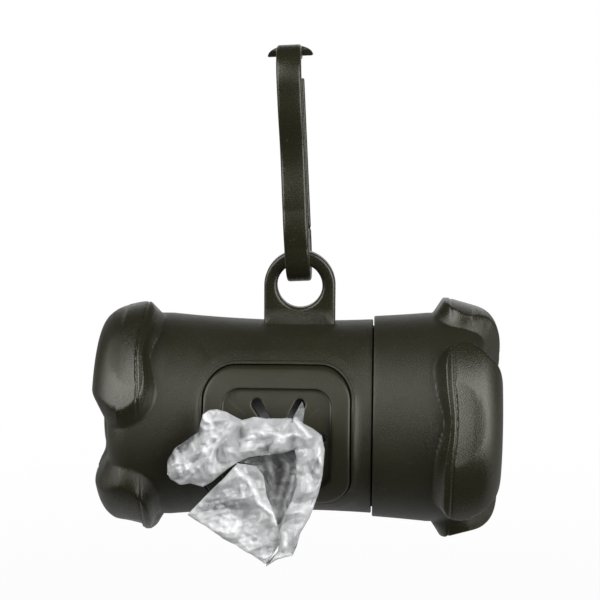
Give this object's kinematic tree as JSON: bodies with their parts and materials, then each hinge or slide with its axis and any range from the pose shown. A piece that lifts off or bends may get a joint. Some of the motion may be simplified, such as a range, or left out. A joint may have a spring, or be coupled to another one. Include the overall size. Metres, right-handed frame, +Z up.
{
  "type": "dog poop bag dispenser",
  "caption": "Bone-shaped barrel that holds a roll of waste bags, with a star-slotted front plate, a pull-off end lid, a top eye and a snap hook.",
  "frame": {"origin": "middle of the bend at the top of the snap hook, where a ring or lead hangs it", "axes": "+Z up along the hook, +X along the barrel towards the lid, -Y out of the slot plate"},
  "size_m": [0.0802, 0.0532, 0.098],
  "materials": {
    "charcoal_plastic": "fine spark-eroded texture, semi-matt",
    "plate_plastic": "smooth, satin",
    "film": "thin translucent film, crumpled",
    "card": "raw cardboard"
  },
  "bodies": {
    "hook": {"clip_frame": "charcoal_plastic"},
    "gate": {"clip_gate": "charcoal_plastic"},
    "case": {"body_shell": "charcoal_plastic", "slot_plate": "plate_plastic"},
    "lid": {"lid": "charcoal_plastic"},
    "roll": {"roll_core": "card", "bag_roll": "film"},
    "bag": {"pulled_bag": "film"}
  },
  "joints": [
    {"name": "gate_flex", "type": "hinge", "parent": "hook", "child": "gate", "pos_m": [0.00144, 0.0065, -0.02896], "axis": [0.9988, 0, 0.0497], "range_deg": [0, 11], "stiffness_Nm_per_rad": 0.6},
    {"name": "case_swing", "type": "hinge", "parent": "hook", "child": "case", "pos_m": [0.00198, 0, -0.0398], "axis": [0, 1, 0], "range_deg": [-75, 75]},
    {"name": "lid_pull", "type": "slide", "parent": "case", "child": "lid", "axis": [1, 0, 0], "range_m": [0, 0.03]},
    {"name": "bag_pull", "type": "slide", "parent": "case", "child": "bag", "axis": [0, -0.7385, -0.6743], "range_m": [0, 0.012]},
    {"name": "roll_spin", "type": "hinge", "parent": "case", "child": "roll", "pos_m": [0.00098, 0, -0.0692], "axis": [1, 0, 0], "continuous": true}
  ],
  "couplings": [
    {"joint": "roll_spin", "follows": "bag_pull", "rad_per_m": 71.4}
  ]
}
